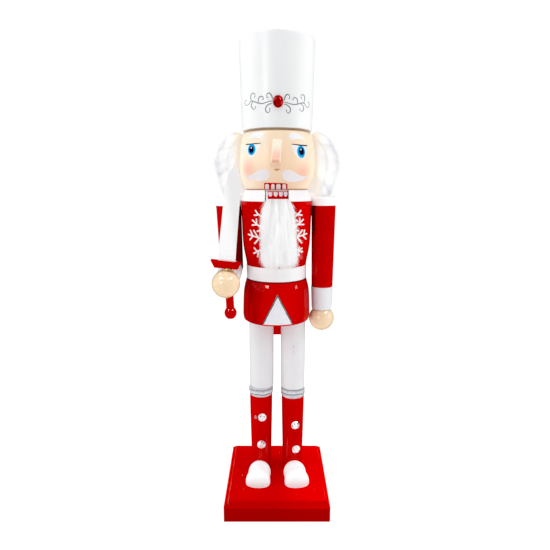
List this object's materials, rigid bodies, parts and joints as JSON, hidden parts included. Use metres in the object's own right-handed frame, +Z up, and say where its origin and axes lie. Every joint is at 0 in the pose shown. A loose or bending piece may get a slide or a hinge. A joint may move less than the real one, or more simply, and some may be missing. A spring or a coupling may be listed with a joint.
{
  "type": "nutcracker figure",
  "caption": "Turned wooden nutcracker soldier on a square block, with fur hair and beard, a sword, and a lower jaw worked by a lever at the back.",
  "frame": {"origin": "centre of the square block's underside", "axes": "+Z up along the figure, -Y towards the figure's front, +X towards the figure's left hand"},
  "size_m": [0.1009, 0.1048, 0.38],
  "materials": {
    "red_lacquer": "gloss red lacquer on turned wood",
    "white_lacquer": "satin white paint on turned wood",
    "flesh_lacquer": "peach paint on turned wood, semi-gloss",
    "silver_paint": "bright silver paint",
    "bare_wood": "bare",
    "pin_steel": "drawn rod",
    "clear_stone": "faceted, foil backed",
    "red_stone": "faceted, foil backed",
    "white_fur": "long pile fur on a cloth backing"
  },
  "bodies": {
    "figure": {"base": "red_lacquer", "ankle_dowels": "bare_wood", "shoe_left": "white_lacquer", "shoe_right": "white_lacquer", "boot_left": "red_lacquer", "boot_right": "red_lacquer", "boot_studs": "clear_stone", "knee_band_left": "silver_paint", "knee_band_right": "silver_paint", "thigh_left": "white_lacquer", "thigh_right": "white_lacquer", "knee_dowels": "bare_wood", "hip_dowels": "bare_wood", "coat_skirt": "red_lacquer", "belt": "white_lacquer", "waist_dowel": "bare_wood", "torso": "red_lacquer", "collar_left": "white_lacquer", "collar_right": "white_lacquer", "neck_dowels": "bare_wood", "head": "flesh_lacquer", "nose": "flesh_lacquer", "hat": "white_lacquer", "hat_dowel": "bare_wood", "hat_gem": "red_stone", "epaulette_left": "white_lacquer", "epaulette_right": "white_lacquer", "sleeve_left": "red_lacquer", "upper_sleeve_right": "red_lacquer", "forearm_sleeve_right": "red_lacquer", "cuff_left": "white_lacquer", "cuff_right": "white_lacquer", "shoulder_dowels": "bare_wood", "elbow_dowel": "bare_wood", "wrist_dowels": "bare_wood", "hand_left": "flesh_lacquer", "hand_right": "flesh_lacquer", "sword_blade": "white_lacquer", "sword_guard": "red_lacquer", "sword_grip": "red_lacquer", "jaw_pin": "pin_steel", "hair": "white_fur"},
    "jaw": {"jaw_lever": "red_lacquer", "beard": "white_fur"}
  },
  "joints": [
    {"name": "jaw_hinge", "type": "hinge", "parent": "figure", "child": "jaw", "pos_m": [0, 0.00785, 0.24], "axis": [1, 0, 0], "range_deg": [0, 22], "deforming": ["beard"]}
  ]
}
